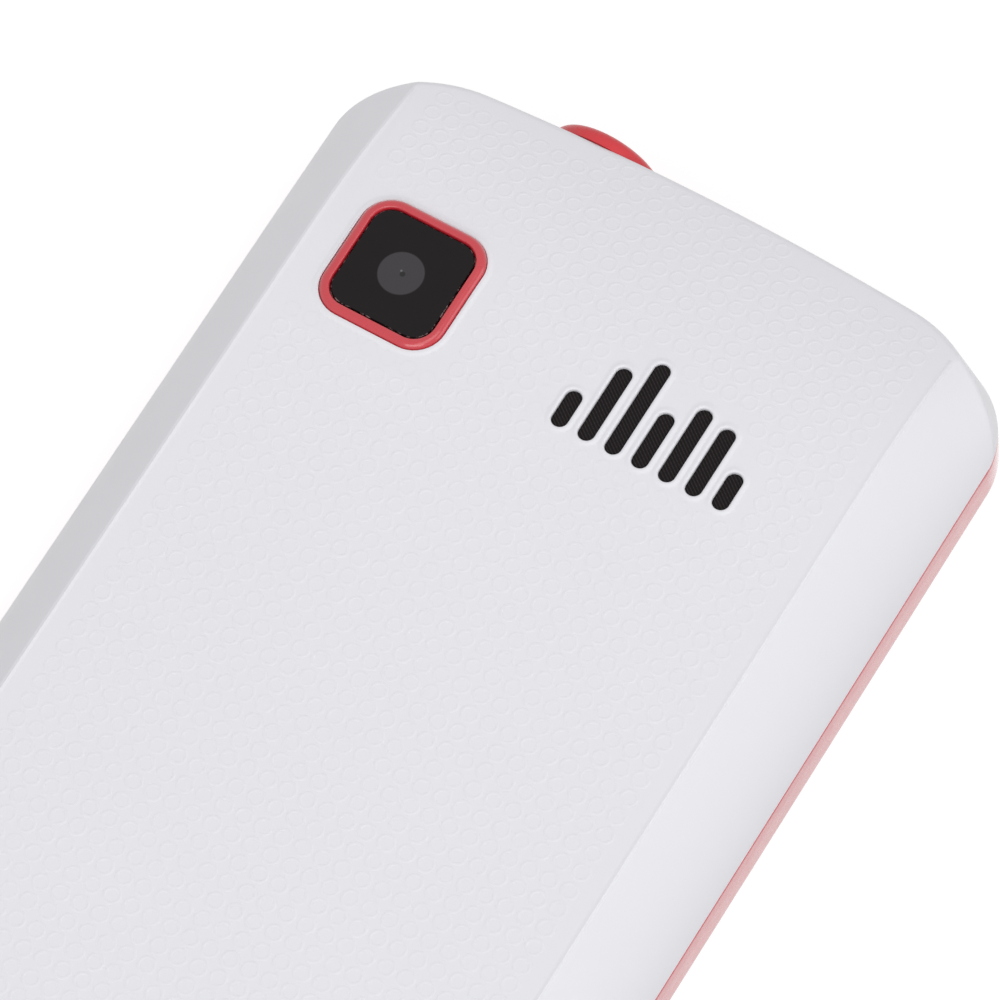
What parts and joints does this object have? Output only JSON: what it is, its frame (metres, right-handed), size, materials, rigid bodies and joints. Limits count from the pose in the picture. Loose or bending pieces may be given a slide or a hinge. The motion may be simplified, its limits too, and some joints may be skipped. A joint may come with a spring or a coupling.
{
  "type": "feature phone",
  "caption": "Candy-bar feature phone with a white removable rear cover, red frame, camera, loudspeaker slots, torch, keypad, navigation ring and an inside with battery and card holders.",
  "frame": {"origin": "middle of the bounding box's underside, on the front rim that the phone lies on", "axes": "+Z out of the back cover, +Y towards the top end with the torch, X across the phone"},
  "size_m": [0.052, 0.123, 0.0133],
  "materials": {
    "cover_white": "satin moulded, fine raised rings on the flat panel",
    "front_white": "satin moulded",
    "frame_red": "high gloss",
    "window_black": "polished black",
    "lens_black": "polished black",
    "torch_clear": "clear",
    "lamp_yellow": "clear yellow resin",
    "mesh_black": "fine black weave",
    "chassis_black": "fine matt",
    "key_white": "satin",
    "mat_grey": "matt silicone",
    "board_green": "solder mask",
    "sheet_steel": "bright sheet",
    "contact_gold": "gold plated",
    "battery_grey": "plain wrapped cell",
    "display_grey": "sheet frame"
  },
  "bodies": {
    "phone_body": {"front_housing": "front_white", "mid_frame": "frame_red", "camera_bezel": "frame_red", "display_window": "window_black", "camera_window": "window_black", "camera_lens": "lens_black", "torch_lens": "torch_clear", "torch_led": "lamp_yellow", "earpiece_mesh": "mesh_black", "rear_chassis": "chassis_black", "headphone_jack": "chassis_black", "loudspeaker": "chassis_black", "earpiece_speaker": "chassis_black", "camera_module": "chassis_black", "keymat": "mat_grey", "speaker_gasket": "mat_grey", "main_board": "board_green", "shield_can": "sheet_steel", "usb_socket": "sheet_steel", "sim_holder_1": "sheet_steel", "sim_holder_2": "sheet_steel", "memory_card_holder": "sheet_steel", "vibration_motor": "sheet_steel", "screws": "sheet_steel", "microphone": "sheet_steel", "dome_sheet": "sheet_steel", "battery_contacts": "contact_gold", "antenna": "contact_gold", "battery": "battery_grey", "display_module": "display_grey"},
    "rear_cover": {"rear_cover": "cover_white", "speaker_mesh": "mesh_black"},
    "key_1": {"key_1": "key_white"},
    "key_2": {"key_2": "key_white"},
    "key_3": {"key_3": "key_white"},
    "key_4": {"key_4": "key_white"},
    "key_5": {"key_5": "key_white"},
    "key_6": {"key_6": "key_white"},
    "key_7": {"key_7": "key_white"},
    "key_8": {"key_8": "key_white"},
    "key_9": {"key_9": "key_white"},
    "key_star": {"key_star": "key_white"},
    "key_0": {"key_0": "key_white"},
    "key_hash": {"key_hash": "key_white"},
    "left_soft_key": {"left_soft_key": "key_white"},
    "right_soft_key": {"right_soft_key": "key_white"},
    "call_key": {"call_key": "key_white"},
    "end_key": {"end_key": "key_white"},
    "ok_key": {"ok_key": "key_white"},
    "nav_plunger": {"nav_plunger": "mat_grey"},
    "nav_ring": {"nav_ring": "key_white"},
    "motor_weight": {"motor_weight": "sheet_steel"}
  },
  "joints": [
    {"name": "cover_lift", "type": "slide", "parent": "phone_body", "child": "rear_cover", "axis": [0, 0, 1], "range_m": [0, 0.04]},
    {"name": "key_1_press", "type": "slide", "parent": "phone_body", "child": "key_1", "axis": [0, 0, 1], "range_m": [0, 0.00025], "stiffness_N_per_m": 4000},
    {"name": "key_2_press", "type": "slide", "parent": "phone_body", "child": "key_2", "axis": [0, 0, 1], "range_m": [0, 0.00025], "stiffness_N_per_m": 4000},
    {"name": "key_3_press", "type": "slide", "parent": "phone_body", "child": "key_3", "axis": [0, 0, 1], "range_m": [0, 0.00025], "stiffness_N_per_m": 4000},
    {"name": "key_4_press", "type": "slide", "parent": "phone_body", "child": "key_4", "axis": [0, 0, 1], "range_m": [0, 0.00025], "stiffness_N_per_m": 4000},
    {"name": "key_5_press", "type": "slide", "parent": "phone_body", "child": "key_5", "axis": [0, 0, 1], "range_m": [0, 0.00025], "stiffness_N_per_m": 4000},
    {"name": "key_6_press", "type": "slide", "parent": "phone_body", "child": "key_6", "axis": [0, 0, 1], "range_m": [0, 0.00025], "stiffness_N_per_m": 4000},
    {"name": "key_7_press", "type": "slide", "parent": "phone_body", "child": "key_7", "axis": [0, 0, 1], "range_m": [0, 0.00025], "stiffness_N_per_m": 4000},
    {"name": "key_8_press", "type": "slide", "parent": "phone_body", "child": "key_8", "axis": [0, 0, 1], "range_m": [0, 0.00025], "stiffness_N_per_m": 4000},
    {"name": "key_9_press", "type": "slide", "parent": "phone_body", "child": "key_9", "axis": [0, 0, 1], "range_m": [0, 0.00025], "stiffness_N_per_m": 4000},
    {"name": "key_star_press", "type": "slide", "parent": "phone_body", "child": "key_star", "axis": [0, 0, 1], "range_m": [0, 0.00025], "stiffness_N_per_m": 4000},
    {"name": "key_0_press", "type": "slide", "parent": "phone_body", "child": "key_0", "axis": [0, 0, 1], "range_m": [0, 0.00025], "stiffness_N_per_m": 4000},
    {"name": "key_hash_press", "type": "slide", "parent": "phone_body", "child": "key_hash", "axis": [0, 0, 1], "range_m": [0, 0.00025], "stiffness_N_per_m": 4000},
    {"name": "left_soft_key_press", "type": "slide", "parent": "phone_body", "child": "left_soft_key", "axis": [0, 0, 1], "range_m": [0, 0.00025], "stiffness_N_per_m": 4000},
    {"name": "right_soft_key_press", "type": "slide", "parent": "phone_body", "child": "right_soft_key", "axis": [0, 0, 1], "range_m": [0, 0.00025], "stiffness_N_per_m": 4000},
    {"name": "call_key_press", "type": "slide", "parent": "phone_body", "child": "call_key", "axis": [0, 0, 1], "range_m": [0, 0.00025], "stiffness_N_per_m": 4000},
    {"name": "end_key_press", "type": "slide", "parent": "phone_body", "child": "end_key", "axis": [0, 0, 1], "range_m": [0, 0.00025], "stiffness_N_per_m": 4000},
    {"name": "ok_key_press", "type": "slide", "parent": "phone_body", "child": "ok_key", "axis": [0, 0, 1], "range_m": [0, 0.00025], "stiffness_N_per_m": 4000},
    {"name": "nav_up_down", "type": "hinge", "parent": "phone_body", "child": "nav_plunger", "pos_m": [0, -0.01503, 0.00347], "axis": [1, 0, 0], "range_deg": [-1.4, 1.4], "stiffness_Nm_per_rad": 0.4},
    {"name": "nav_left_right", "type": "hinge", "parent": "nav_plunger", "child": "nav_ring", "pos_m": [0, -0.01503, 0.00313], "axis": [0, 1, 0], "range_deg": [-1.4, 1.4], "stiffness_Nm_per_rad": 0.4},
    {"name": "motor_spin", "type": "hinge", "parent": "phone_body", "child": "motor_weight", "pos_m": [-0.0164, -0.0523, 0.009], "axis": [1, 0, 0], "continuous": true}
  ]
}
